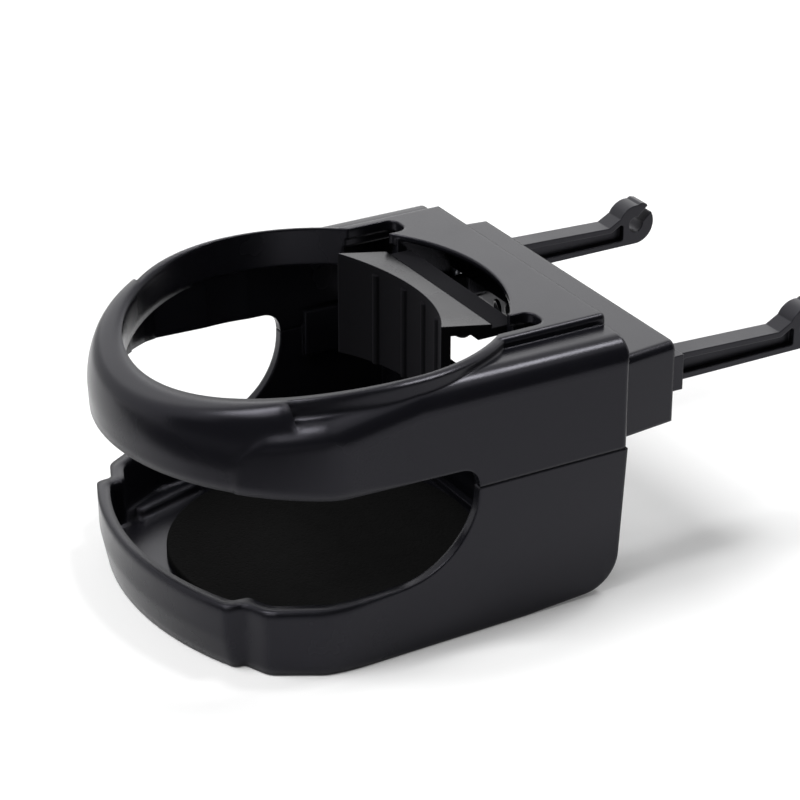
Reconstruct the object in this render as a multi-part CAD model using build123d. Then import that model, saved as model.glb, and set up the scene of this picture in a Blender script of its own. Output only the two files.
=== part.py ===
"""Cup holder for a car, hung on an air vent by two forked arms, with a sprung slider that steadies the cup."""

import os
from math import cos, radians, sin, sqrt, tan

from build123d import *

os.makedirs("parts", exist_ok=True)

# Driving sizes in mm. The cup axis is Z, the ring faces -Y, the vent arms point to +Y, the tray stands on Z = 0.
body_width = 81.4
opening_in = 3.7
band_out = 3.3
body_rear = 45.1
plate_top = 55.6
step_height = 2.0
plate_in = 9.4
part_line = 31.5
wall = 2.0
skin = 2.2
lip_width = 1.7
lip_end = 23.0
rim_fall = 5.3
inner_wall_height = 8.0
shoulder_r = 5.0
shoulder_fall = 8.5
shoulder_bend_r = 60.0
nose_edge_r = 5.2
belly_drop = 14.1
band_curve_r = 20.0
band_top_r = 2.6
nose_angle = 50.0
nose_stand = 0.2
nose_width = 6.0
nose_tip_r = 2.4
nose_r = 13.0
side_bend_r = 10.0
rear_edge_r = 1.0

# Side mouths between the ring and the tray
mouth_rear = 12.3
mouth_top = 35.8
mouth_rise = 1.3
mouth_corner_r = 4.0
tray_sweep_r = 17.0
tray_rim = 13.2
tray_rim_fall = 0.9

# Lower tray
tray_lean_front = 0.4
tray_lean_rear = 2.0
tray_lean_back = 0.4
tray_rim_end = 29.6
tray_nose_front = 29.4
tray_nose_in = 6.1
tray_nose_r = 4.0
tray_flank_front = 20.0
tray_flank_in = 0.8
tray_flank_r = 6.0
tray_bend = -15.0
bow_corner_in = 1.2
bow_step = 3.2
floor = 3.0
bow_front = 41.2
bow_in = 11.7
bow_corner = 34.8
bow_corner_r = 1.8
bow_notch_r = 1.2
crease_height = 6.2
crease_depth = 1.1
tray_rear_r = 7.5
foot_flat_end = 24.0
foot_rise = 1.1
back_wall_front = 36.0
back_wall_top = 29.0

# Foam pad and the low ribs round it
pad_r = 31.0
pad_y = 1.0
pad_thick = 1.8
pad_rib_width = 2.2
side_rib_foot = (12.1, -25.4)
side_rib_head = (7.3, -10.6)
rear_rib_in = 14.7
pad_rib_height = 2.0

# Cup slider: its front arc has the opening's radius and stands this far forward at rest
slider_apex = 21.8
slider_in = 20.5
slider_wall = 1.8
slider_low = 33.5
flange_rear = 27.0
flange_drop = 1.5
flange_slope = 10.0
flange_thick = 2.0
deck_rear = 32.4
deck_drop = 0.8
runner_low = 35.1
runner_top = 44.5
lug_out = 2.8
lug_long = 2.2

# Slots in the plate and the rails under it
notch_in = 2.3
notch_width = 6.1
notch_rear = 33.6
notch_r = 2.4
rail_thick = 2.0
relief_depth = 1.1
rail_front = 30.0
rail_rear = 42.6
rail_low = 33.0
ledge_thick = 1.8

# Springs
spring_in = 7.2
spring_z = 37.3
spring_mean_r = 2.75
wire_r = 0.4
spring_turns = 6
post_r = 2.0
post_long = 10.0

# Rear block
block_in = 3.7
block_taper = 1.6
block_rear = 58.8
block_low = 31.5
block_drop = 7.4
block_r = 1.8
block_wall = 2.0
flange_y = 42.8
ear_thick = 1.8

# Vent arms
arm_in = 5.2
arm_width = 4.6
arm_web = 1.6
collar_width = 7.0
collar_low = 36.8
collar_top = 44.2
collar_long = 3.4
arm_low = 38.2
arm_top_root = 44.0
arm_top_neck = 43.0
neck_back = 6.8
arm_flange = 1.2
fork_y = 92.8
fork_z = 42.6
fork_r = 4.4
fork_hole_r = 1.7
fork_mouth = 1.9
fork_mouth_angle = 42.0
tenon_width = 4.0
tenon_height = 5.6
tenon_long = 7.0

# Screws
screw_in = 7.2
screw_y = 38.6
screw_r = 1.45
screw_head_r = 2.7
screw_head_high = 1.9
screw_seat = 22.0
screw_long = 22.0
boss_r = 3.2
tower_r = 3.5
arm_screw_r = 1.2
arm_screw_head_r = 2.2
arm_screw_long = 7.0

# Clearances
gap = 0.1
slide_gap = 0.3
fit_gap = 0.05

shoulder = plate_top - step_height
half_body = body_width / 2
opening_r = half_body - opening_in
band_r = half_body + band_out
band_belly = plate_top - belly_drop
half_plate = half_body - plate_in
notch_outer = half_plate - notch_in
notch_inner = notch_outer - notch_width
slider_half = half_body - slider_in
spring_x = slider_half - spring_in
flange_top = plate_top - flange_drop
tray_nose_half = half_body - tray_nose_in
bow_half = half_body - bow_in
block_half_front = half_body - block_in
block_half_rear = block_half_front - block_taper
block_top = plate_top - block_drop
arm_x = block_half_rear - arm_in
arm_neck = fork_y - neck_back
screw_x = half_body - screw_in
inner_half = half_body - wall
inner_wall_r = opening_r + wall
lip_r = opening_r + lip_width
nose_round_r = band_r + nose_stand
bend_y = -sqrt(nose_round_r**2 - half_body**2)
fall_r = (opening_r**2 + rim_fall**2) / (2 * rim_fall)
nose_y = -nose_round_r * sin(radians(nose_angle))
far = 120.0


def span(x0, x1, y0, y1, z0, z1):
    """Box between two corners."""
    return Pos((x0 + x1) / 2, (y0 + y1) / 2, (z0 + z1) / 2) * Box(abs(x1 - x0), abs(y1 - y0), abs(z1 - z0))


def pair(x0, x1, y0, y1, z0, z1):
    """The same box on both sides of the middle."""
    return span(x0, x1, y0, y1, z0, z1) + span(-x1, -x0, y0, y1, z0, z1)


def upright(x, y, z0, z1, r):
    """Upright cylinder."""
    return Pos(x, y, (z0 + z1) / 2) * Cylinder(r, z1 - z0)


def along_y(x, z, y0, y1, r):
    """Cylinder lying along Y."""
    return Pos(x, (y0 + y1) / 2, z) * Rot(90, 0, 0) * Cylinder(r, y1 - y0)


def prism(plan, z0, z1):
    """Upright solid with the given plan."""
    return extrude(Pos(0, 0, z0) * plan, z1 - z0, dir=(0, 0, 1))


def side_prism(outline, half):
    """Solid with a Y-Z outline, as wide as twice half."""
    return extrude(Plane.YZ * outline, half, both=True)


def above_rim(drop):
    """Everything above the rim's curve moved down by drop: level behind the cup axis, falling towards the front."""
    level = plate_top - drop
    end_y = -(band_r + 8)
    mid_y = end_y / 2
    mid_z = level - (fall_r - sqrt(fall_r**2 - mid_y**2))
    end_z = level - (fall_r - sqrt(fall_r**2 - end_y**2))
    outline = Line((far, level), (0, level)) + ThreePointArc((0, level), (mid_y, mid_z), (end_y, end_z))
    outline += Polyline((end_y, end_z), (end_y, far), (far, far), (far, level))
    return side_prism(make_face(outline), far)


def below_shoulder(drop):
    """Everything under the shoulders moved in by drop: level behind the cup axis, falling to the rounded noses."""
    level = shoulder - drop
    tip = nose_y + drop
    outline = Polygon((body_rear + 1, 0), (body_rear + 1, level), (0, level),
                      (tip, level + tip * tan(radians(shoulder_fall))), (tip, 0), align=None)
    outline = fillet([v for v in outline.vertices() if abs(v.X) < 0.01], shoulder_bend_r)
    outline = fillet([v for v in outline.vertices() if v.X < tip + 0.01 and v.Y > 1], nose_r - drop)
    return side_prism(outline, far)


def side_plan():
    """Plan of the housing's sides: flat to the rear, round at the front like the band, ending in two rounded noses."""
    tip = (nose_round_r * cos(radians(nose_angle)), -nose_round_r * sin(radians(nose_angle)))
    middle = (nose_round_r * cos(radians(nose_angle / 1.4)), -nose_round_r * sin(radians(nose_angle / 1.4)))
    inner = (tip[0] - nose_width * 0.66, tip[1] + nose_width * 0.75)
    plan = Line((half_body, body_rear), (half_body, bend_y)) + ThreePointArc((half_body, bend_y), middle, tip)
    plan += Polyline(tip, inner, (0, inner[1] + 4), (0, body_rear), (half_body, body_rear))
    plan = make_face(plan)
    plan = fillet([v for v in plan.vertices() if abs(v.X - tip[0]) < 0.01 and abs(v.Y - tip[1]) < 0.01], nose_tip_r)
    plan = fillet([v for v in plan.vertices() if abs(v.X - half_body) < 0.01 and abs(v.Y - bend_y) < 0.01], side_bend_r)
    plan = fillet([v for v in plan.vertices() if v.X > half_body - 0.01 and v.Y > body_rear - 0.01], rear_edge_r)
    return plan + mirror(plan, Plane.YZ)


def band_outline(inset, low, inner):
    """Ring band's section: nearly upright below, then curving in towards the rim."""
    r, curve = band_r - inset, band_curve_r - inset
    centre = band_r - band_curve_r
    end_r = max(inner, centre + curve * cos(radians(52)))
    top = band_belly + sqrt(curve**2 - (end_r - centre) ** 2)
    mid_r = centre + curve * cos(radians(25))
    mid_z = band_belly + curve * sin(radians(25))
    outline = Polyline((end_r, top), (inner, top), (inner, low), (r - 0.4, low), (r, band_belly)) if end_r > inner else \
        Polyline((inner, top), (inner, low), (r - 0.4, low), (r, band_belly))
    outline += ThreePointArc((r, band_belly), (mid_r, mid_z), (end_r, top))
    return make_face(outline)


# Upper housing: ring band, lip, shoulders and raised rear plate in one moulding
band_low = mouth_top - 3
band = revolve(Plane.XZ * band_outline(0, band_low, opening_r - 4), Axis.Z) - above_rim(0)
rim_edges = [e for e in band.edges() if e.center().Z > band_belly + 4 and e.length > 30
             and abs(sqrt(e.position_at(0.5).X ** 2 + e.position_at(0.5).Y ** 2) - opening_r) < 8
             and sqrt(e.position_at(0.5).X ** 2 + e.position_at(0.5).Y ** 2) > opening_r]
band = fillet(rim_edges, band_top_r)
band -= span(-far, far, bend_y + 0.5, far, 0, far) - upright(0, 0, 0, far, lip_r)

sides = prism(side_plan(), part_line + gap, plate_top) & below_shoulder(0)


def round_roll(r):
    """What lies outside the rounded top edge along each flat side."""
    corner = Rectangle(20, 20, align=Align.MIN) - Circle(r)
    bar = extrude(Plane.XZ * Pos(half_body - shoulder_r, shoulder - shoulder_r) * corner, far, both=True)
    return bar + mirror(bar, Plane.YZ)


def round_turn(r):
    """What lies outside a rounded top edge that follows the band's circle in front of the cup axis."""
    corner = Rectangle(20, 20, align=Align.MIN) - Circle(r)
    turn_r = nose_round_r / cos(radians(shoulder_fall)) - nose_edge_r
    ring = revolve(Plane.XZ * Pos(turn_r, shoulder - nose_edge_r) * corner, Axis.Z)
    return ring & span(-far, far, -far, 0, 0, far)


def outside_edges(inset):
    """What lies outside the shoulders' rounded top edges, level at the rear and tilted with their fall at the front."""
    tilt = Pos(0, 0, shoulder - nose_edge_r) * Rot(shoulder_fall, 0, 0) * Pos(0, 0, nose_edge_r - shoulder)
    roll = round_roll(shoulder_r - inset)
    return [roll, tilt * roll, tilt * round_turn(nose_edge_r - inset)]


for edge in outside_edges(0):
    sides -= edge

plate = span(-half_plate, half_plate, opening_r / 2, body_rear, shoulder - 1, plate_top)
plate_edges = [e for e in plate.edges() if abs(e.center().Z - plate_top) < 0.01 and abs(abs(e.center().X) - half_plate) < 0.01]
plate = fillet(plate_edges, 1.0)

housing = band + sides + plate
housing -= upright(0, 0, 0, far, opening_r)

# Hollow under the shoulders and plate, open below and behind
hollow = [(inner_half, far), (inner_half, -15.2), (inner_half - 1.8, -lip_end), (-inner_half + 1.8, -lip_end),
          (-inner_half, -15.2), (-inner_half, far)]
cavity = prism(Polygon(*hollow, align=None), 0, shoulder)
cavity &= upright(0, 0, 0, far, nose_round_r - wall) + span(-far, far, 0, far, 0, far)
channel = revolve(Plane.XZ * band_outline(wall, band_low - 1, inner_wall_r), Axis.Z) - above_rim(skin)
cavity += channel & span(-inner_half, inner_half, -far, far, 0, far)
behind_band = span(-far, far, -lip_end, body_rear + 1, 0, far)
for edge in outside_edges(wall):
    cavity -= edge & behind_band
cavity -= behind_band - below_shoulder(wall)
cavity += span(-half_plate + wall, half_plate - wall, lip_end - 2, far, 0, plate_top - skin)
housing -= cavity
housing -= upright(0, 0, 0, far, inner_wall_r) - above_rim(inner_wall_height)

# Ring's inner wall, which follows the rim and stops at the slots
inner_wall = upright(0, 0, band_low, plate_top, inner_wall_r) - upright(0, 0, 0, far, opening_r)
inner_wall = (inner_wall & above_rim(inner_wall_height)) - above_rim(1.0)
wall_end = sqrt(opening_r**2 - (notch_outer + 0.5) ** 2)
housing += inner_wall & span(-far, far, -far, wall_end, 0, far)

# Shoulders outside the lip, trimmed to their fall and their rounded edges
outside_lip = pair(half_plate, far, -lip_end, body_rear + 1, part_line, far) - upright(0, 0, 0, far, lip_r)
housing -= outside_lip - below_shoulder(0)
for edge in outside_edges(0):
    housing -= edge & outside_lip

# Side mouths
mouth = Polygon((mouth_rear, 0), (mouth_rear, mouth_top), (-band_r, mouth_top + mouth_rise), (-band_r - 9, mouth_top + mouth_rise),
                (-band_r - 9, 0), align=None)
mouth = fillet([v for v in mouth.vertices() if v.X > 0 and v.Y > 1], mouth_corner_r)
housing -= side_prism(mouth, far)

# Slots in the plate, rails below them and bosses for the case screws
notch = Polygon((notch_inner, 10), (notch_outer, 10), (notch_outer, notch_rear), (notch_inner, notch_rear), align=None)
notch = prism(fillet([v for v in notch.vertices() if v.Y > 20], notch_r), shoulder - wall - 1, far)
housing -= notch
housing -= mirror(notch, Plane.YZ)
rail_inner = slider_half + gap + slide_gap + 0.2
relief = Pos(0, 0, plate_top - skin + relief_depth / 2 - 0.05) * Cone(opening_r + 6, opening_r - 0.1, relief_depth + 0.1)
housing -= relief & span(-rail_inner - 1, rail_inner + 1, lip_end, far, 0, far)
housing += pair(rail_inner, rail_inner + rail_thick, rail_front, rail_rear, rail_low, plate_top - 0.6)
housing += pair(rail_inner - 2.2, rail_inner + 0.2, rail_front, rail_rear, rail_low, rail_low + ledge_thick)
boss_low = block_low + ear_thick + gap
for side in (1, -1):
    housing += upright(side * screw_x, screw_y, boss_low, shoulder - wall + 0.2, boss_r)
for side in (1, -1):
    housing -= upright(side * screw_x, screw_y, boss_low - 1, screw_seat + screw_long + 1, screw_r + fit_gap)
export_step(housing, "parts/upper_housing.step")

# Lower tray: side walls up to the parting line, swept down to a low front bow
tray_top = part_line - gap
bow_r = (bow_half**2 + (bow_front - bow_corner) ** 2) / (2 * (bow_front - bow_corner))


def tray_plan(inset, lean, foot):
    """Plan of the tray: straight sides, a small nose on each and the front bow; lean and foot draw it in lower down."""
    off = inset + lean * tray_lean_front
    half_rear = half_body - inset - lean * tray_lean_rear
    back_y = body_rear - lean * tray_lean_back
    tip, front = tray_nose_half - off, -tray_nose_front + off
    flank, flank_y = half_body - tray_flank_in - off, -tray_flank_front + off
    bow, corner = bow_half - off, -bow_corner + off + foot * bow_corner_in
    bend, turn_y = half_body - off, tray_bend + off
    apex = -bow_front + off + foot * crease_depth
    notch = (bow + bow_notch_r / 4, -bow_corner + off + bow_step)
    right = [(bow, corner), notch, (tip, front), (flank, flank_y), (bend, turn_y), (half_rear, back_y)]
    left = [(-x, y) for x, y in reversed(right)]
    plan = make_face(Polyline(*right, *left) + ThreePointArc((-bow, corner), (0, apex), (bow, corner)))
    plan = fillet([v for v in plan.vertices() if abs(v.Y - turn_y) < 0.01], 30)
    plan = fillet([v for v in plan.vertices() if abs(v.Y - flank_y) < 0.01], tray_flank_r)
    plan = fillet([v for v in plan.vertices() if abs(v.Y - front) < 0.01], tray_nose_r)
    plan = fillet([v for v in plan.vertices() if abs(abs(v.X) - notch[0]) < 0.01 and abs(v.Y - notch[1]) < 0.01], bow_notch_r)
    return fillet([v for v in plan.vertices() if abs(v.Y - corner) < 0.01], bow_corner_r)


def tray_block(inset):
    """The tray's plan drawn down from the parting line to the crease, then in to the foot."""
    share = 1 - crease_height / tray_top
    crease = Pos(0, 0, crease_height) * tray_plan(inset, share, 0)
    upper = loft([Pos(0, 0, tray_top) * tray_plan(inset, 0, 0), crease], ruled=True)
    return upper + loft([crease, tray_plan(inset, 1, 1)], ruled=True)


tray = tray_block(0)
heel = Polygon((foot_flat_end, 0), (far, foot_rise * (far - foot_flat_end) / (body_rear - foot_flat_end)), (far, -far),
               (foot_flat_end, -far), align=None)
tray -= side_prism(heel, far)
back_edge = [e for e in tray.edges() if e.center().Z < 2 * foot_rise and e.center().Y > body_rear - 3 and abs(e.center().X) < 1]
tray = fillet(back_edge, tray_rear_r)

hollow_tray = tray_block(wall) & span(-far, far, -far, far, floor, far)
tray -= hollow_tray & span(-far, far, -far, back_wall_front, 0, far)
tray -= hollow_tray & span(-far, far, back_wall_front + wall, far, 0, far)
tray -= span(-inner_half, inner_half, body_rear - 3, far, floor, far)
tray -= span(-inner_half, inner_half, back_wall_front - 1, far, back_wall_top, far)

sweep_y = mouth_rear - tray_sweep_r
sweep_z = tray_rim + tray_rim_fall + tray_sweep_r
rim_cut = Line((mouth_rear, far), (mouth_rear, sweep_z))
rim_cut += ThreePointArc((mouth_rear, sweep_z), (sweep_y + tray_sweep_r * cos(radians(-45)), sweep_z + tray_sweep_r * sin(radians(-45))),
                         (sweep_y, sweep_z - tray_sweep_r))
rim_cut += Polyline((sweep_y, sweep_z - tray_sweep_r), (-tray_rim_end, tray_rim), (-far, tray_rim), (-far, far), (mouth_rear, far))
tray -= side_prism(make_face(rim_cut), far)

# Screw towers, tongues that fit inside the housing and the ribs round the pad
for side in (1, -1):
    tray += upright(side * screw_x, screw_y, floor - 0.5, tray_top, tower_r) & span(-inner_half, inner_half, -far, far, 0, far)
for side in (1, -1):
    tray -= upright(side * screw_x, screw_y, -1, screw_seat, screw_head_r + 0.4)
    tray -= upright(side * screw_x, screw_y, -1, tray_top + 1, screw_r + 0.25)
tongue_out = inner_half - 0.15
tray += pair(tongue_out - 1.6, tongue_out, mouth_rear + 5, mouth_rear + 15, tray_top - 6, tray_top + 4)
tray += pair(tongue_out - 1.6, tongue_out + 0.8, mouth_rear + 5, mouth_rear + 15, tray_top - 6, tray_top - 1)
rib_top = floor + pad_rib_height
rear_rib = half_body - rear_rib_in
tray += span(-rear_rib, rear_rib, back_wall_front - 2.8, back_wall_front - 2.8 + pad_rib_width - 0.6, floor - 0.5, floor + pad_thick)
for side in (1, -1):
    foot = Vector(side * (half_body - side_rib_foot[0]), side_rib_foot[1])
    head = Vector(side * (half_body - side_rib_head[0]), side_rib_head[1])
    rib = SlotCenterToCenter((head - foot).length, pad_rib_width)
    turn = Vector(1, 0).get_signed_angle(head - foot, Vector(0, 0, 1))
    middle = (foot + head) * 0.5
    tray += prism(Pos(middle.X, middle.Y) * Rot(0, 0, turn) * rib, floor - 0.5, floor + pad_rib_height)
export_step(tray, "parts/lower_tray.step")

# Foam pad stuck to the tray floor
pad = upright(0, pad_y, floor, floor + pad_thick, pad_r)
export_step(pad, "parts/base_pad.step")

# Cup slider: concave front wall under a sloping crescent flange, with runners that reach back between the rails
arc_y = slider_apex - opening_r
slope = tan(radians(flange_slope))


def flange_z(y):
    """Height of the flange's top face, which falls towards the rear."""
    return flange_top + (slider_apex - y) * slope


crescent = span(-slider_half, slider_half, 5, flange_rear, 0, far)
crescent -= upright(0, arc_y, -1, far + 1, opening_r)
slab = Polygon((0, flange_z(0)), (deck_rear, flange_z(deck_rear)), (deck_rear, flange_z(deck_rear) - flange_thick),
               (0, flange_z(0) - flange_thick), align=None)
under = Polygon((0, flange_z(0) - 0.5), (deck_rear, flange_z(deck_rear) - 0.5), (deck_rear, 0), (0, 0), align=None)
slider = crescent & side_prism(slab, slider_half)
face = upright(0, arc_y, slider_low, far, opening_r + slider_wall) - upright(0, arc_y, 0, far + 1, opening_r)
slider += face & span(-slider_half, slider_half, 0, far, 0, far) & side_prism(under, slider_half)
deck_top = flange_z(flange_rear) - deck_drop
slider += span(-slider_half, slider_half, flange_rear - 3, deck_rear, deck_top - slider_wall, deck_top)
runner_front = arc_y + sqrt((opening_r + slider_wall / 2) ** 2 - slider_half**2)
runner_rear = rail_rear + gap + lug_long
slider += pair(slider_half - slider_wall, slider_half, runner_front, runner_rear, runner_low, runner_top)
slider += pair(slider_half - 0.2, slider_half + lug_out, rail_rear + gap, runner_rear, runner_low + 2, runner_top - 1.5)
seat_y = flange_rear - 1
slider += span(-slider_half, slider_half, seat_y - slider_wall, seat_y, runner_low, spring_z + 3.4)
for rib_x in (-12.0, -3.8, 3.8, 12.0):
    rib_y = arc_y + sqrt(opening_r**2 - rib_x**2)
    slider += upright(rib_x, rib_y + 0.3, slider_low, flange_z(rib_y) - flange_thick + 0.3, 0.9)
for side in (1, -1):
    slider += along_y(side * spring_x, spring_z, seat_y - 0.5, seat_y + post_long, post_r)
export_step(slider, "parts/cup_slider.step")

# Rear block: open below and in front, with a flange that closes the housing's rear and ears under its bosses
block_plan = Polygon((block_half_front, body_rear), (block_half_rear, block_rear), (-block_half_rear, block_rear), (-block_half_front, body_rear),
                     align=None)
block = prism(block_plan, block_low, block_top)
round_edges = [e for e in block.edges() if abs(e.center().Z - block_top) < 0.01 and abs(e.center().X) > 1]
block = fillet(round_edges, block_r)
open_front = block_half_front - block_wall
open_rear = block_half_rear - block_wall
hollow_plan = Polygon((open_front + 0.3, body_rear - 3), (open_rear, block_rear - block_wall), (-open_rear, block_rear - block_wall),
                      (-open_front - 0.3, body_rear - 3), align=None)
hollow_block = prism(hollow_plan, 0, block_top - block_wall)
flange_half = inner_half - 0.15
rear_flange = span(-flange_half, flange_half, flange_y, body_rear, block_low, shoulder - wall - 0.15)
block += rear_flange - round_roll(shoulder_r - wall - 0.15)
block += span(-half_plate + wall + 0.15, half_plate - wall - 0.15, flange_y, body_rear, shoulder - wall - 0.5, plate_top - skin - 0.15)
block -= hollow_block
block += pair(screw_x - boss_r - 0.4, flange_half, screw_y - boss_r - 0.8, body_rear, block_low, block_low + ear_thick)
wall_in = block_rear - block_wall
socket_x0, socket_x1 = arm_x - tenon_width / 2 - 2, arm_x + tenon_width / 2 + 2
tenon_z = (collar_low + collar_top) / 2
socket_front = block_rear - tenon_long - block_wall - fit_gap
block += pair(socket_x0, socket_x1, socket_front, wall_in + 0.5, tenon_z - tenon_height / 2 - 1.8, tenon_z + tenon_height / 2 + 1.8)
for side in (1, -1):
    x0, x1 = side * arm_x - tenon_width / 2 - fit_gap, side * arm_x + tenon_width / 2 + fit_gap
    z0, z1 = tenon_z - tenon_height / 2 - fit_gap, tenon_z + tenon_height / 2 + fit_gap
    block -= span(x0, x1, block_rear - tenon_long - fit_gap, block_rear + 1, z0, z1)
    block -= along_y(side * arm_x, tenon_z, socket_front - 1, block_rear, arm_screw_r + 0.15)
    block -= upright(side * screw_x, screw_y, 0, far, screw_r + 0.25) & span(-far, far, 0, far, 0, boss_low)
    block += along_y(side * spring_x, spring_z, wall_in - 5, wall_in + 0.5, post_r)
export_step(block, "parts/rear_block.step")

# Springs between the slider's seat and the block's rear wall
spring_start = seat_y + wire_r + fit_gap
spring_end = wall_in - wire_r - fit_gap
for name, side in (("left", -1), ("right", 1)):
    helix = Helix(pitch=(spring_end - spring_start) / spring_turns, height=spring_end - spring_start, radius=spring_mean_r)
    coil = sweep(Plane(helix @ 0, z_dir=helix % 0) * RegularPolygon(wire_r, 4), path=helix, is_frenet=True)
    coil = Pos(side * spring_x, spring_start, spring_z) * Rot(-90, 0, 0) * coil
    export_step(coil, f"parts/slider_spring_{name}.step")


def vent_arm():
    """Right arm: tenon and collar at the block, channelled beam, and a fork that clips round a vent blade."""
    start = block_rear + fit_gap
    beam = Polygon((start, arm_low), (start, arm_top_root), (arm_neck, arm_top_neck), (fork_y + 1.2, fork_z + 4.7), (fork_y + 2.6, fork_z + 4.3),
                   (fork_y + 2.9, fork_z + 3.4), (fork_y, fork_z - fork_r), align=None)
    beam = fillet([v for v in beam.vertices() if v.Y > fork_z + 3], 0.6)
    outline = beam + Pos(fork_y, fork_z) * Circle(fork_r)
    outline -= Pos(fork_y, fork_z) * Circle(fork_hole_r)
    outline -= Pos(fork_y, fork_z) * Rot(0, 0, fork_mouth_angle) * Pos(fork_r, 0) * Rectangle(2 * fork_r, fork_mouth)
    arm = side_prism(outline, arm_width / 2)
    recess = Polygon((start + collar_long + 0.8, arm_low + arm_flange), (start + collar_long + 0.8, arm_top_root - arm_flange - 0.2),
                     (arm_neck + 0.5, arm_top_neck - arm_flange), (fork_y - 3.2, fork_z + 1.0), (fork_y - 3.2, arm_low + arm_flange),
                     align=None)
    recess = side_prism(fillet(recess.vertices(), 0.6), arm_width)
    arm -= recess - span(-arm_web / 2, arm_web / 2, 0, fork_y + far, 0, far)
    arm += span(-collar_width / 2, collar_width / 2, start, start + collar_long, collar_low, collar_top)
    arm += span(-tenon_width / 2, tenon_width / 2, block_rear - tenon_long, start + 0.5, tenon_z - tenon_height / 2, tenon_z + tenon_height / 2)
    arm -= along_y(0, tenon_z, 0, socket_front + arm_screw_long + 0.5, arm_screw_r + fit_gap)
    return Pos(arm_x, 0, 0) * arm


arm = vent_arm()
export_step(arm, "parts/vent_arm_right.step")
export_step(mirror(arm, Plane.YZ), "parts/vent_arm_left.step")

# Case screws that clamp tray, block ears and housing, and the screws that hold the arms
case_screws = []
arm_screws = []
for side in (1, -1):
    shank = upright(side * screw_x, screw_y, screw_seat, screw_seat + screw_long, screw_r)
    case_screws.append(shank + upright(side * screw_x, screw_y, screw_seat - screw_head_high, screw_seat, screw_head_r))
    pin = along_y(side * arm_x, tenon_z, socket_front, socket_front + arm_screw_long, arm_screw_r)
    arm_screws.append(pin + along_y(side * arm_x, tenon_z, socket_front - 1.4, socket_front, arm_screw_head_r))
export_step(Compound(case_screws), "parts/case_screws.step")
export_step(Compound(arm_screws), "parts/arm_screws.step")
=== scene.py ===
"""Looks of a car cup holder: black moulded plastic on a pale studio floor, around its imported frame."""

import math
import random

import bmesh
import bpy
from bpy.props import FloatProperty, FloatVectorProperty, IntProperty, PointerProperty
from bpy.types import Operator, Panel, PropertyGroup
from mathutils import Matrix, Vector


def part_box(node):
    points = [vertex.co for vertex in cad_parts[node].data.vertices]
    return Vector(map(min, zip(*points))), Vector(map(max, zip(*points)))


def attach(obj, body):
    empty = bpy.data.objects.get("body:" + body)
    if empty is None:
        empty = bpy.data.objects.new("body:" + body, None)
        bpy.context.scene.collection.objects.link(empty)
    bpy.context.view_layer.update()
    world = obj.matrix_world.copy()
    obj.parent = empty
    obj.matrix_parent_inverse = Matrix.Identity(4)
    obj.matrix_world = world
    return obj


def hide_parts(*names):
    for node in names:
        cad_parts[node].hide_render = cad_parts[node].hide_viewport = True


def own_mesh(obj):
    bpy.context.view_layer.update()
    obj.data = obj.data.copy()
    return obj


bl_info = {
    "name": "Cup holder looks",
    "version": (1, 0, 0),
    "blender": (4, 5, 0),
    "location": "3D View > Sidebar > Cup holder",
    "description": "Finishes, small pieces and studio stage of a cup holder that hangs on a car's air vent",
    "category": "Object",
}

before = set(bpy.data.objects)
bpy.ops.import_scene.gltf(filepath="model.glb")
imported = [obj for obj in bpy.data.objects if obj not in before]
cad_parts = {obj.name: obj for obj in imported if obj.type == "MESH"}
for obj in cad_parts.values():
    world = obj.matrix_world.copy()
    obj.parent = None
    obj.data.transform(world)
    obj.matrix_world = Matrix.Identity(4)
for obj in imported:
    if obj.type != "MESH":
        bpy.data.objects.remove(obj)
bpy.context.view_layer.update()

MM = 0.001
PAD_LOW, PAD_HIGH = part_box("base_pad")
SPRING_LOW, SPRING_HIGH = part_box("slider_spring_right")
CASE_LOW, CASE_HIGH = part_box("case_screws")
ARM_LOW, ARM_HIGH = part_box("arm_screws")
SLIDER_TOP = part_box("cup_slider")[1].z

# Edges of the mouldings are eased more in front of the cup's axis, from the first place to the second
FRONT_BEGINS, FRONT_FULL = -2.0 * MM, -16.0 * MM
# The satin flange of the slider reaches this far below its highest point
FLANGE_DEPTH = 2.4 * MM
# Melt flow changes the gloss over about this width
FLOW_MM = 14.0

# Foam pad: rounded rim, drawn-in foot and depth of the uneven top
PAD_RIM, PAD_FOOT_IN, PAD_FOOT_HIGH, PAD_DIP = 0.5 * MM, 0.3 * MM, 0.2 * MM, 0.05 * MM
PAD_COUNT = 128

# Springs: facets round the wire, steps in a turn, and how close the end turns lie
WIRE_FACETS, TURN_STEPS, END_CLOSE = 10, 28, 0.045

# Screws: head radius, head height and shank radius
CASE_SCREW = (2.7 * MM, 1.9 * MM, 1.45 * MM)
ARM_SCREW = (2.2 * MM, 1.4 * MM, 1.2 * MM)
THREAD_PITCH, THREAD_DEPTH, SCREW_COUNT = 1.1 * MM, 0.28 * MM, 32
# The heads of a pair come to rest turned apart, each by this many radians
HEAD_TURN = 0.4

# Soft boxes: name, azimuth and elevation in degrees, distance, width and height in metres, power in watts
SOFT_BOXES = (
    ("ridge_box", 180.0, 63.0, 0.72, 0.15, 0.18, 1.7),
    ("front_top_box", 344.0, 66.0, 0.72, 0.26, 0.28, 3.5),
    ("far_box", 240.0, 27.0, 1.10, 1.40, 0.60, 2.7),
    ("front_box", 20.0, 52.0, 0.80, 0.18, 0.18, 0.9),
)
# Black cards: name, azimuth and elevation in degrees, distance, width and height in metres, lies on the floor
BLACK_CARDS = (
    ("near_card", 60.0, 34.0, 1.3, 2.6, 1.5, False),
    ("right_card", 125.0, 25.0, 1.2, 1.4, 1.2, False),
    ("front_card", 8.0, 12.0, 1.1, 0.9, 0.55, False),
    ("floor_card", 25.0, 0.0, 0.34, 0.80, 0.46, True),
)
FLOOR_SIDE, FLOOR_DROP = 8.0, 0.0002
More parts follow.
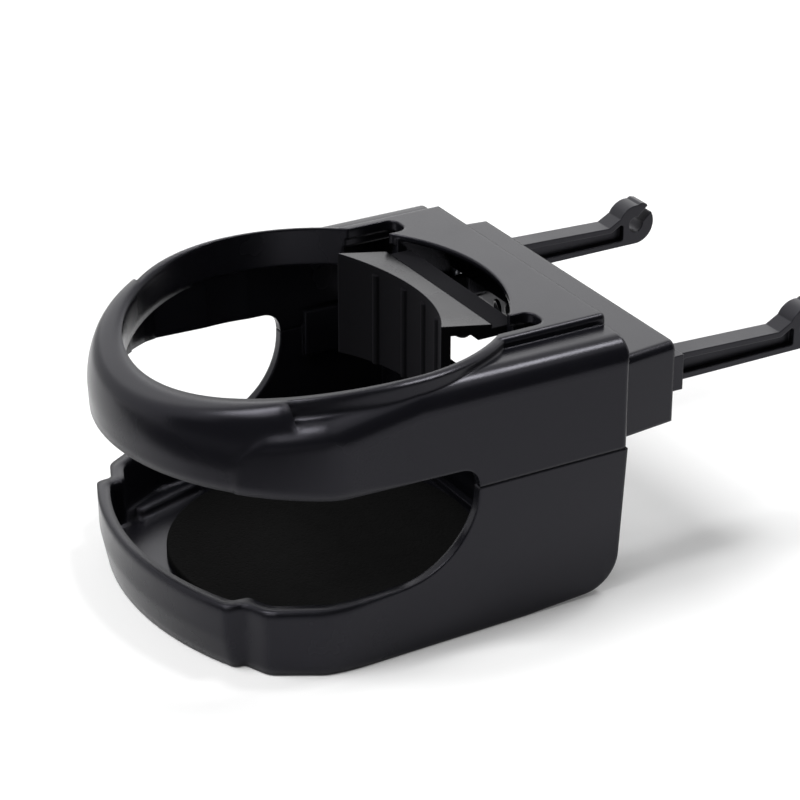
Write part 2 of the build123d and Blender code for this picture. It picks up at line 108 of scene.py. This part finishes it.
# The floor's own glow evens out its light: least near the object, most this far away
GLOW_NEAR, GLOW_FAR, GLOW_LEAST, GLOW_MOST = 0.12, 0.75, 0.08, 0.55


def linear(code):
    """An sRGB hex colour as linear RGBA."""
    channels = [int(code[i:i + 2], 16) / 255 for i in (0, 2, 4)]
    return (*[c / 12.92 if c <= 0.04045 else ((c + 0.055) / 1.055) ** 2.4 for c in channels], 1.0)


def add(tree, kind, settings=None, links=None):
    """Adds a node; settings are its own values, links are socket values or (node, output) pairs."""
    node = tree.nodes.new(kind)
    for key, value in (settings or {}).items():
        setattr(node, key, value)
    for socket, value in (links or {}).items():
        if isinstance(value, tuple) and isinstance(value[0], bpy.types.Node):
            tree.links.new(value[0].outputs[value[1]], node.inputs[socket])
        else:
            node.inputs[socket].default_value = value
    return node


def fresh_material(name):
    """An empty node material and its tree."""
    material = bpy.data.materials.new(name)
    material.use_nodes = True
    material.node_tree.nodes.clear()
    return material, material.node_tree


def per_metre(size_mm):
    """Texture scale at which one cell of a pattern is this many millimetres wide."""
    return 1.0 / (size_mm * MM)


def moulded_plastic(name, colour, edge_wear_and_highlight_colour, roughness, blasted, satin_from, specular,
                    grain_mm, grain_depth, edge_mm, front_mm):
    """Moulded plastic: even dark body, fine eroded grain, slow changes of gloss, edges a little paler, partly
    from rubbing and partly as a painted highlight along them.

    Upright walls, and all that lies below satin_from, have the blasted roughness instead. Edges are eased by
    edge_mm, and round the front by front_mm."""
    material, tree = fresh_material(name)
    place = add(tree, "ShaderNodeTexCoord")
    grain = add(tree, "ShaderNodeTexNoise", None, {
        "Vector": (place, "Object"), "Scale": per_metre(grain_mm), "Detail": 2.0, "Roughness": 0.6})
    flow = add(tree, "ShaderNodeTexNoise", None, {
        "Vector": (place, "Object"), "Scale": per_metre(FLOW_MM), "Detail": 3.0, "Roughness": 0.55})
    at = add(tree, "ShaderNodeSeparateXYZ", None, {"Vector": (place, "Object")})
    ease = add(tree, "ShaderNodeMapRange", {"clamp": True}, {
        "Value": (at, "Y"), "From Min": FRONT_BEGINS, "From Max": FRONT_FULL,
        "To Min": edge_mm * MM, "To Max": front_mm * MM})
    soft_edge = add(tree, "ShaderNodeBevel", {"samples": 8}, {"Radius": (ease, "Result")})
    flat = add(tree, "ShaderNodeNewGeometry")
    facing = add(tree, "ShaderNodeVectorMath", {"operation": "DOT_PRODUCT"}, {
        0: (soft_edge, "Normal"), 1: (flat, "Normal")})
    # Paler colour along the edges: partly rubbing wear, partly a painted highlight
    edge = add(tree, "ShaderNodeMapRange", {"clamp": True}, {
        "Value": (facing, "Value"), "From Min": 0.97, "From Max": 0.75, "To Min": 0.0, "To Max": 0.4})
    edge_wear_and_highlight = add(tree, "ShaderNodeMath", {"operation": "MULTIPLY"}, {0: (edge, "Result"), 1: (flow, "Fac")})
    body = add(tree, "ShaderNodeMix", {"data_type": "RGBA"}, {
        "Factor": (edge_wear_and_highlight, "Value"), 6: colour, 7: edge_wear_and_highlight_colour})
    slope = add(tree, "ShaderNodeSeparateXYZ", None, {"Vector": (flat, "Normal")})
    level = add(tree, "ShaderNodeMath", {"operation": "ABSOLUTE"}, {0: (slope, "Z")})
    above = add(tree, "ShaderNodeMath", {"operation": "GREATER_THAN"}, {0: (at, "Z"), 1: satin_from})
    satin = add(tree, "ShaderNodeMath", {"operation": "MULTIPLY"}, {0: (level, "Value"), 1: (above, "Value")})
    base_gloss = add(tree, "ShaderNodeMapRange", {"clamp": True}, {
        "Value": (satin, "Value"), "From Min": 0.2, "From Max": 0.8, "To Min": blasted, "To Max": roughness})
    uneven = add(tree, "ShaderNodeMapRange", {"clamp": True}, {
        "Value": (flow, "Fac"), "From Min": 0.3, "From Max": 0.7, "To Min": -0.035, "To Max": 0.035})
    gloss = add(tree, "ShaderNodeMath", {"operation": "ADD"}, {
        0: (base_gloss, "Result"), 1: (uneven, "Result")})
    bump = add(tree, "ShaderNodeBump", None, {
        "Strength": 0.35, "Distance": grain_depth * MM, "Height": (grain, "Fac"),
        "Normal": (soft_edge, "Normal")})
    shader = add(tree, "ShaderNodeBsdfPrincipled", None, {
        "Base Color": (body, 2), "Roughness": (gloss, "Value"), "IOR": 1.48,
        "Specular IOR Level": specular, "Specular Tint": linear("f2f0ff"), "Normal": (bump, "Normal")})
    add(tree, "ShaderNodeOutputMaterial", None, {"Surface": (shader, "BSDF")})
    return material


def closed_cell_foam(name, colour, pit_shade_colour, cell_mm):
    """Die-cut EVA foam: almost no gloss, tiny burst cells painted darker as shade inside them, and a faint
    mottle from the skiving blade.
    """
    material, tree = fresh_material(name)
    place = add(tree, "ShaderNodeTexCoord")
    cells = add(tree, "ShaderNodeTexVoronoi", None, {
        "Vector": (place, "Object"), "Scale": per_metre(cell_mm)})
    mottle = add(tree, "ShaderNodeTexNoise", None, {
        "Vector": (place, "Object"), "Scale": per_metre(5.0), "Detail": 4.0, "Roughness": 0.65})
    pits = add(tree, "ShaderNodeMapRange", {"clamp": True}, {
        "Value": (cells, "Distance"), "From Min": 0.1, "From Max": 0.55, "To Min": 0.0, "To Max": 1.0})
    blend = add(tree, "ShaderNodeMath", {"operation": "MULTIPLY"}, {0: (pits, "Result"), 1: (mottle, "Fac")})
    # Painted shade darkens the burst cells, and the mottle darkens the foam at random
    body = add(tree, "ShaderNodeMix", {"data_type": "RGBA"}, {
        "Factor": (blend, "Value"), 6: pit_shade_colour, 7: colour})
    bump = add(tree, "ShaderNodeBump", None, {
        "Strength": 0.6, "Distance": 0.12 * MM, "Height": (pits, "Result")})
    shader = add(tree, "ShaderNodeBsdfPrincipled", None, {
        "Base Color": (body, 2), "Roughness": 0.95, "IOR": 1.48, "Specular IOR Level": 0.1,
        "Normal": (bump, "Normal")})
    add(tree, "ShaderNodeOutputMaterial", None, {"Surface": (shader, "BSDF")})
    return material


def coated_steel(name, colour, dull_colour, roughness, mark_mm, squeeze):
    """Drawn or plated steel: fine marks along the piece and dull patches in the coating."""
    material, tree = fresh_material(name)
    place = add(tree, "ShaderNodeTexCoord")
    stretch = add(tree, "ShaderNodeMapping", None, {"Vector": (place, "Object"), "Scale": squeeze})
    marks = add(tree, "ShaderNodeTexNoise", None, {
        "Vector": (stretch, "Vector"), "Scale": per_metre(mark_mm), "Detail": 2.0})
    patches = add(tree, "ShaderNodeTexNoise", None, {
        "Vector": (place, "Object"), "Scale": per_metre(1.8), "Detail": 2.0})
    body = add(tree, "ShaderNodeMix", {"data_type": "RGBA"}, {
        "Factor": (patches, "Fac"), 6: colour, 7: dull_colour})
    gloss = add(tree, "ShaderNodeMapRange", {"clamp": True}, {
        "Value": (marks, "Fac"), "From Min": 0.3, "From Max": 0.7,
        "To Min": roughness - 0.06, "To Max": roughness + 0.08})
    bump = add(tree, "ShaderNodeBump", None, {
        "Strength": 0.25, "Distance": 0.03 * MM, "Height": (marks, "Fac")})
    shader = add(tree, "ShaderNodeBsdfPrincipled", None, {
        "Base Color": (body, 2), "Metallic": 1.0, "Roughness": (gloss, "Result"), "Normal": (bump, "Normal")})
    add(tree, "ShaderNodeOutputMaterial", None, {"Surface": (shader, "BSDF")})
    return material


def dress(node_names, material):
    """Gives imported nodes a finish."""
    for name in node_names:
        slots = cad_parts[name].data.materials
        slots.clear()
        slots.append(material)


def new_piece(name, mesh, material, body, replaced):
    """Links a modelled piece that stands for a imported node."""
    piece = bpy.data.objects.new(name, mesh)
    bpy.context.scene.collection.objects.link(piece)
    mesh.materials.append(material)
    mesh.shade_smooth()
    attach(piece, body)
    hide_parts(*replaced)
    return piece


def turned(rows, count, bottom, top):
    """Vertices and faces of a closed form about Z; a row is (radius or function of the turn, height)."""
    verts, faces = [(0.0, 0.0, bottom)], []
    for radius, z in rows:
        for k in range(count):
            a = 2 * math.pi * k / count
            r = radius(k / count, z) if callable(radius) else radius
            verts.append((r * math.cos(a), r * math.sin(a), z))
    verts.append((0.0, 0.0, top))
    last = 1 + (len(rows) - 1) * count
    for k in range(count):
        n = (k + 1) % count
        faces.append((0, 1 + n, 1 + k))
        for row in range(len(rows) - 1):
            a, b = 1 + row * count, 1 + (row + 1) * count
            faces.append((a + k, a + n, b + n, b + k))
        faces.append((last + k, last + n, len(verts) - 1))
    return verts, faces


def pan_screw(name, head_r, head_high, shank_r, length):
    """A pan-head screw along +Z, tip up: domed head below Z = 0, cross recess, rolled thread, cone tip."""
    core_r = shank_r - THREAD_DEPTH

    def threaded(share, z):
        wave = abs(((z / THREAD_PITCH - share) % 1.0) * 2 - 1)
        tip = min(1.0, (length - z) / (1.6 * shank_r))
        return (core_r + THREAD_DEPTH * max(0.0, wave * 2.2 - 1.2)) * max(tip, 0.12)

    edge = 0.1 * MM
    rows = [(head_r * 0.55, -head_high), (head_r * 0.85, -head_high * 0.82), (head_r, -head_high * 0.45),
            (head_r, -edge), (head_r - edge, 0.0), (core_r, 0.0)]
    steps = int(length / (THREAD_PITCH / 6))
    rows += [(threaded, length * i / steps) for i in range(1, steps)]
    verts, faces = turned(rows, SCREW_COUNT, -head_high, length)
    mesh = bpy.data.meshes.new(name)
    mesh.from_pydata(verts, [], faces)
    cutter = bmesh.new()
    long, narrow = head_r * 1.25, head_r * 0.28
    for wide, deep in ((long, narrow), (narrow, long)):
        for v in bmesh.ops.create_cube(cutter, size=1.0)["verts"]:
            draw_in = 0.55 if v.co.z > 0 else 1.0
            z = v.co.z * head_high * 1.3 - head_high
            v.co = Vector((v.co.x * wide * draw_in, v.co.y * deep * draw_in, z))
    cross = bpy.data.meshes.new(name + "_cross")
    cutter.to_mesh(cross)
    cutter.free()
    body = bpy.data.objects.new(name, mesh)
    tool = bpy.data.objects.new(name + "_cross", cross)
    for o in (body, tool):
        bpy.context.scene.collection.objects.link(o)
    cut = body.modifiers.new("cross recess", "BOOLEAN")
    cut.object, cut.operation, cut.solver, cut.use_self = tool, "DIFFERENCE", "EXACT", True
    bpy.context.view_layer.update()
    done = bpy.data.meshes.new_from_object(body.evaluated_get(bpy.context.evaluated_depsgraph_get()))
    for o in (body, tool):
        bpy.data.objects.remove(o)
    return done


def direction(azimuth, elevation):
    """Unit vector from the object towards a place given by two angles in radians."""
    level = math.cos(elevation)
    return Vector((math.sin(azimuth) * level, -math.cos(azimuth) * level, math.sin(elevation)))


def seen_directly(tree):
    """1 for rays of the camera, and for those that it sends on by gloss or through glass."""
    path = add(tree, "ShaderNodeLightPath")
    seen = add(tree, "ShaderNodeMath", {"operation": "MAXIMUM"}, {
        0: (path, "Is Camera Ray"), 1: (path, "Is Glossy Ray")})
    return add(tree, "ShaderNodeMath", {"operation": "MAXIMUM"}, {
        0: (seen, "Value"), 1: (path, "Is Transmission Ray")})


def flat_sheet(name, wide, high, material):
    """A level rectangle about the origin."""
    x, y = wide / 2, high / 2
    mesh = bpy.data.meshes.new(name)
    mesh.from_pydata([(-x, -y, 0), (x, -y, 0), (x, y, 0), (-x, y, 0)], [], [(0, 1, 2, 3)])
    mesh.materials.append(material)
    sheet = bpy.data.objects.new(name, mesh)
    bpy.context.scene.collection.objects.link(sheet)
    return sheet


class HolderFinish(PropertyGroup):
    """Colours and grain of the holder's materials."""

    body_colour: FloatVectorProperty(
        name="Body colour", description="Satin black ABS of the housing, tray and block",
        subtype="COLOR", size=4, min=0.0, max=1.0, default=linear("131317"))
    # The slider's colour is darker than the body's ABS: painted shade for its face deep inside the ring
    slider_colour_painted_shade: FloatVectorProperty(
        name="Slider colour", description="Black ABS of the sprung slider",
        subtype="COLOR", size=4, min=0.0, max=1.0, default=linear("040405"))
    arm_colour: FloatVectorProperty(
        name="Arm colour", description="Black nylon of the vent arms",
        subtype="COLOR", size=4, min=0.0, max=1.0, default=linear("111114"))
    # Edges are paler partly from handling and partly as a painted highlight along them
    edge_wear_and_highlight_colour: FloatVectorProperty(
        name="Edge colour", description="Paler plastic where edges are handled",
        subtype="COLOR", size=4, min=0.0, max=1.0, default=linear("24242a"))
    foam_colour: FloatVectorProperty(
        name="Foam colour", description="Black foam of the cup pad",
        subtype="COLOR", size=4, min=0.0, max=1.0, default=linear("0d0d0d"))
    grain: FloatProperty(
        name="Mould grain", description="Width of one grain of the eroded mould surface",
        unit="LENGTH", min=0.00005, max=0.005, default=0.45 * MM)
    wire: FloatProperty(
        name="Spring wire radius", description="Radius of the spring wire",
        unit="LENGTH", min=0.0001, max=0.002, default=0.4 * MM)
    turns: IntProperty(
        name="Spring turns", description="Turns in each slider spring", min=2, max=30, default=6)


class HolderStage(PropertyGroup):
    """Camera and light of the studio."""

    azimuth: FloatProperty(
        name="Camera azimuth", description="Turn of the camera about the cup axis",
        subtype="ANGLE", default=math.radians(60.09))
    elevation: FloatProperty(
        name="Camera elevation", description="Height of the camera above the horizon",
        subtype="ANGLE", default=math.radians(26.15))
    roll: FloatProperty(
        name="Camera roll", description="Turn of the picture about its middle",
        subtype="ANGLE", default=math.radians(0.093))
    distance: FloatProperty(
        name="Camera distance", description="Camera to the point it looks at",
        unit="LENGTH", default=572.3 * MM)
    look_at: FloatVectorProperty(
        name="Look at", description="Point in the middle of the picture",
        unit="LENGTH", size=3, default=(0.318 * MM, 18.346 * MM, 30.864 * MM))
    lens: FloatProperty(
        name="Lens", description="Focal length on a sensor 36 mm wide",
        unit="CAMERA", default=130.8)
    floor_colour: FloatVectorProperty(
        name="Floor colour", description="Pale studio floor",
        subtype="COLOR", size=4, min=0.0, max=1.0, default=linear("f6f6f6"))
    fill: FloatProperty(
        name="Room fill", description="Even light of the room on the object", min=0.0, max=2.0, default=0.2)


class HOLDER_OT_mouldings(Operator):
    """Gives the housing, tray, block, slider and arms their moulded plastic"""

    bl_idname = "holder.mouldings"
    bl_label = "Moulded plastic"

    def execute(self, context):
        finish = context.scene.holder_finish
        grain_mm = finish.grain / MM
        # ABS from a spark-eroded mould: soft highlights with a faint violet cast, and a grain finer than the
        # picture, drawn just coarse enough to show
        body = moulded_plastic(
            "moulded_abs_satin_black", finish.body_colour, finish.edge_wear_and_highlight_colour, roughness=0.22, blasted=0.25,
            satin_from=0.0, specular=0.25, grain_mm=grain_mm, grain_depth=0.03, edge_mm=0.8, front_mm=2.8)
        dress(("upper_housing", "lower_tray", "rear_block"), body)
        # ABS with a satin flange on top and a blasted, almost dead black face that grips the cup; its colour
        # is darker than the body's as painted shade
        slider = moulded_plastic(
            "moulded_abs_slider_black_painted_shade", finish.slider_colour_painted_shade, finish.edge_wear_and_highlight_colour, roughness=0.26, blasted=1.0,
            satin_from=SLIDER_TOP - FLANGE_DEPTH, specular=0.24, grain_mm=grain_mm, grain_depth=0.04,
            edge_mm=0.4, front_mm=0.4)
        dress(("cup_slider",), slider)
        # Glass-filled nylon: duller and slightly greyer than the ABS
        arms = moulded_plastic(
            "moulded_nylon_black", finish.arm_colour, finish.edge_wear_and_highlight_colour, roughness=0.36, blasted=0.40,
            satin_from=0.0, specular=0.36, grain_mm=grain_mm * 0.8, grain_depth=0.04,
            edge_mm=0.35, front_mm=0.35)
        dress(("vent_arm_left", "vent_arm_right"), arms)
        return {"FINISHED"}


class HOLDER_OT_pad(Operator):
    """Models the foam pad on the tray floor"""

    bl_idname = "holder.pad"
    bl_label = "Foam pad"

    def execute(self, context):
        finish = context.scene.holder_finish
        centre = (PAD_LOW + PAD_HIGH) / 2
        r, high = (PAD_HIGH.x - PAD_LOW.x) / 2, PAD_HIGH.z - PAD_LOW.z
        rows = [(r - PAD_FOOT_IN, 0.0), (r, PAD_FOOT_HIGH), (r, high - PAD_RIM)]
        rows += [(r - PAD_RIM + PAD_RIM * math.cos(a), high - PAD_RIM + PAD_RIM * math.sin(a))
                 for a in (0.4, 0.8, 1.2, math.pi / 2)]
        rows += [(r * share, high) for share in (0.96, 0.9, 0.8, 0.7, 0.6, 0.5, 0.4, 0.3, 0.2, 0.1)]
        verts, faces = turned(rows, PAD_COUNT, 0.0, high)
        mesh = bpy.data.meshes.new("foam_pad")
        mesh.from_pydata(verts, [], faces)
        draw = random.Random(7)
        waves = [(draw.uniform(60, 170), draw.uniform(0, 2 * math.pi), draw.uniform(0, 2 * math.pi))
                 for _ in range(6)]
        for v in mesh.vertices:
            if v.co.z > high - 0.01 * MM:
                dip = sum(math.sin(f * (v.co.x * math.cos(t) + v.co.y * math.sin(t)) + p)
                          for f, t, p in waves) / len(waves)
                v.co.z -= PAD_DIP * (1 + dip)
            v.co += Vector((centre.x, centre.y, PAD_LOW.z))
        # Die-cut closed-cell foam: matt, with burst cells that are drawn about twice their real width and
        # darker inside as painted shade
        foam = closed_cell_foam("die_cut_eva_foam_black", finish.foam_colour, linear("050505"), 0.7)
        pad = new_piece("foam_pad", mesh, foam, "holder", ["base_pad"])
        return {"FINISHED"}


class HOLDER_OT_springs(Operator):
    """Winds the two slider springs"""

    bl_idname = "holder.springs"
    bl_label = "Slider springs"

    def execute(self, context):
        finish = context.scene.holder_finish
        # Phosphated music wire: dark grey and dull, with die marks that run along it
        steel = coated_steel(
            "phosphated_spring_steel", linear("3a3a3d"), linear("242427"), 0.46, 0.3, (1.0, 1.0, 1.0))
        centre = (SPRING_LOW + SPRING_HIGH) / 2
        length = SPRING_HIGH.y - SPRING_LOW.y
        mean_r = (SPRING_HIGH.z - SPRING_LOW.z) / 2 - finish.wire
        steps = finish.turns * TURN_STEPS
        for name, x in (("left", -centre.x), ("right", centre.x)):
            verts, faces = [], []
            for i in range(steps + 1):
                turn = i / TURN_STEPS
                # The end turns lie close, as ground ends do
                share = turn / finish.turns
                ease = share - END_CLOSE * math.sin(2 * math.pi * share)
                middle = Vector((x, SPRING_LOW.y + finish.wire + (length - 2 * finish.wire) * ease, centre.z))
                angle = 2 * math.pi * turn
                out = Vector((math.cos(angle), 0.0, math.sin(angle)))
                for k in range(WIRE_FACETS):
                    a = 2 * math.pi * k / WIRE_FACETS
                    along = Vector((0.0, finish.wire * math.sin(a), 0.0))
                    verts.append(middle + out * (mean_r + finish.wire * math.cos(a)) + along)
            for i in range(steps):
                a, b = i * WIRE_FACETS, (i + 1) * WIRE_FACETS
                for k in range(WIRE_FACETS):
                    n = (k + 1) % WIRE_FACETS
                    faces.append((a + k, a + n, b + n, b + k))
            faces.append(tuple(reversed(range(WIRE_FACETS))))
            faces.append(tuple(range(steps * WIRE_FACETS, (steps + 1) * WIRE_FACETS)))
            mesh = bpy.data.meshes.new("spring_" + name)
            mesh.from_pydata(verts, [], faces)
            mesh.update()
            coil = new_piece(
                "spring_" + name, mesh, steel, "holder", ["slider_spring_" + name])
            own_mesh(coil)
        return {"FINISHED"}


class HOLDER_OT_screws(Operator):
    """Models the case screws and the arm screws"""

    bl_idname = "holder.screws"
    bl_label = "Screws"

    def execute(self, context):
        # Zinc-plated steel: bright blue-white, a little cloudy
        zinc = coated_steel(
            "zinc_plated_steel", linear("c3c6cb"), linear("9a9da3"), 0.32, 0.25, (1.0, 1.0, 0.2))
        case_head, case_high, _ = CASE_SCREW
        arm_head, arm_high, _ = ARM_SCREW
        case = pan_screw("case_screw", *CASE_SCREW, CASE_HIGH.z - CASE_LOW.z - case_high)
        arm = pan_screw("arm_screw", *ARM_SCREW, ARM_HIGH.y - ARM_LOW.y - arm_high)
        case_at = (CASE_HIGH.x - case_head, (CASE_LOW.y + CASE_HIGH.y) / 2, CASE_LOW.z + case_high)
        arm_at = (ARM_HIGH.x - arm_head, ARM_LOW.y + arm_high, (ARM_LOW.z + ARM_HIGH.z) / 2)
        places = (
            ("case_screws", case, case_at, Matrix.Identity(4)),
            ("arm_screws", arm, arm_at, Matrix.Rotation(-math.pi / 2, 4, "X")),
        )
        for node, mesh, (x, y, z), turn in places:
            pair = bmesh.new()
            for side in (1, -1):
                copy = mesh.copy()
                rest = Matrix.Rotation(HEAD_TURN * side, 4, "Z")
                copy.transform(Matrix.Translation((side * x, y, z)) @ turn @ rest)
                pair.from_mesh(copy)
                bpy.data.meshes.remove(copy)
            both = bpy.data.meshes.new(node + "_detailed")
            pair.to_mesh(both)
            pair.free()
            new_piece(node + "_detailed", both, zinc, "holder", [node])
            both.set_sharp_from_angle(angle=math.radians(40))
            both.update()
        return {"FINISHED"}


class HOLDER_OT_stage(Operator):
    """Sets the floor, the soft boxes, the dark cards and the camera"""

    bl_idname = "holder.stage"
    bl_label = "Studio stage"

    def execute(self, context):
        stage = context.scene.holder_stage
        scene = context.scene
        scene.view_settings.view_transform = "Standard"
        aim = Vector(stage.look_at)
        back = direction(stage.azimuth, stage.elevation)
        right = Vector((math.cos(stage.azimuth), math.sin(stage.azimuth), 0.0))
        up = back.cross(right)
        tilt_right = right * math.cos(stage.roll) + up * math.sin(stage.roll)
        tilt_up = up * math.cos(stage.roll) - right * math.sin(stage.roll)
        lens = bpy.data.cameras.new("photo_camera")
        lens.lens, lens.sensor_width, lens.sensor_fit = stage.lens, 36.0, "HORIZONTAL"
        lens.clip_start, lens.clip_end = 0.01, 20.0
        camera = bpy.data.objects.new("photo_camera", lens)
        scene.collection.objects.link(camera)
        turn = Matrix((tilt_right, tilt_up, back)).transposed().to_4x4()
        camera.matrix_world = Matrix.Translation(aim + back * stage.distance) @ turn
        scene.camera = camera

        # Matt painted board: pale, white to the camera where no shadow falls
        board, tree = fresh_material("painted_floor_board")
        seen = seen_directly(tree)
        place = add(tree, "ShaderNodeTexCoord")
        reach = add(tree, "ShaderNodeVectorMath", {"operation": "LENGTH"}, {0: (place, "Object")})
        even = add(tree, "ShaderNodeMapRange", {"clamp": True}, {
            "Value": (reach, "Value"), "From Min": GLOW_NEAR, "From Max": GLOW_FAR,
            "To Min": GLOW_LEAST, "To Max": GLOW_MOST})
        glow = add(tree, "ShaderNodeMath", {"operation": "MULTIPLY"}, {
            0: (seen, "Value"), 1: (even, "Result")})
        paint = add(tree, "ShaderNodeBsdfPrincipled", None, {
            "Base Color": tuple(stage.floor_colour), "Roughness": 0.9, "Specular IOR Level": 0.1,
            "Emission Color": (1.0, 1.0, 1.0, 1.0), "Emission Strength": (glow, "Value")})
        add(tree, "ShaderNodeOutputMaterial", None, {"Surface": (paint, "BSDF")})
        ground = flat_sheet("floor", FLOOR_SIDE, FLOOR_SIDE, board)
        ground.location.z = -FLOOR_DROP

        room = bpy.data.worlds.new("studio_room")
        room.use_nodes = True
        tree = room.node_tree
        tree.nodes.clear()
        level = add(tree, "ShaderNodeMapRange", None, {
            "Value": (seen_directly(tree), "Value"), "To Min": stage.fill, "To Max": 1.0})
        air = add(tree, "ShaderNodeBackground", None, {
            "Color": (1.0, 1.0, 1.0, 1.0), "Strength": (level, "Result")})
        add(tree, "ShaderNodeOutputWorld", None, {"Surface": (air, "Background")})
        scene.world = room

        for name, azimuth, elevation, distance, wide, high, watts in SOFT_BOXES:
            way = direction(math.radians(azimuth), math.radians(elevation))
            lamp = bpy.data.lights.new(name, "AREA")
            lamp.shape, lamp.size, lamp.size_y, lamp.energy = "RECTANGLE", wide, high, watts
            box = bpy.data.objects.new(name, lamp)
            scene.collection.objects.link(box)
            box.location = aim + way * distance
            box.rotation_euler = way.to_track_quat("Z", "Y").to_euler()
            box.visible_camera = False

        # Black felt on the camera's side, seen only in reflections, keeps the near faces dark as in a studio
        felt, tree = fresh_material("black_felt_card")
        cloth = add(tree, "ShaderNodeBsdfDiffuse", None, {"Color": (0.004, 0.004, 0.004, 1.0)})
        add(tree, "ShaderNodeOutputMaterial", None, {"Surface": (cloth, "BSDF")})
        for name, azimuth, elevation, distance, wide, high, lies in BLACK_CARDS:
            way = direction(math.radians(azimuth), math.radians(elevation))
            card = flat_sheet(name, wide, high, felt)
            if lies:
                turn = Matrix.Rotation(math.radians(azimuth), 4, "Z")
                card.matrix_world = Matrix.Translation(way * distance) @ turn
            else:
                turn = way.to_track_quat("Z", "Y").to_matrix().to_4x4()
                card.matrix_world = Matrix.Translation(aim + way * distance) @ turn
            card.visible_camera = False
            card.visible_diffuse = False
            card.visible_shadow = False
        return {"FINISHED"}


class HOLDER_PT_panel(Panel):
    """Sidebar panel with the holder's steps and settings"""

    bl_idname = "HOLDER_PT_panel"
    bl_label = "Cup holder"
    bl_space_type = "VIEW_3D"
    bl_region_type = "UI"
    bl_category = "Cup holder"

    def draw(self, context):
        column = self.layout.column()
        for step in STEPS:
            column.operator(step.bl_idname)
        for group in (context.scene.holder_finish, context.scene.holder_stage):
            for key in group.__annotations__:
                column.prop(group, key)


STEPS = (HOLDER_OT_mouldings, HOLDER_OT_pad, HOLDER_OT_springs, HOLDER_OT_screws, HOLDER_OT_stage)
CLASSES = (HolderFinish, HolderStage, *STEPS, HOLDER_PT_panel)


def register():
    for cls in CLASSES:
        bpy.utils.register_class(cls)
    bpy.types.Scene.holder_finish = PointerProperty(type=HolderFinish)
    bpy.types.Scene.holder_stage = PointerProperty(type=HolderStage)


def unregister():
    del bpy.types.Scene.holder_stage
    del bpy.types.Scene.holder_finish
    for cls in reversed(CLASSES):
        bpy.utils.unregister_class(cls)


def main():
    register()
    bpy.ops.holder.mouldings()
    bpy.ops.holder.pad()
    bpy.ops.holder.springs()
    bpy.ops.holder.screws()
    bpy.ops.holder.stage()


if __name__ == "__main__":
    main()
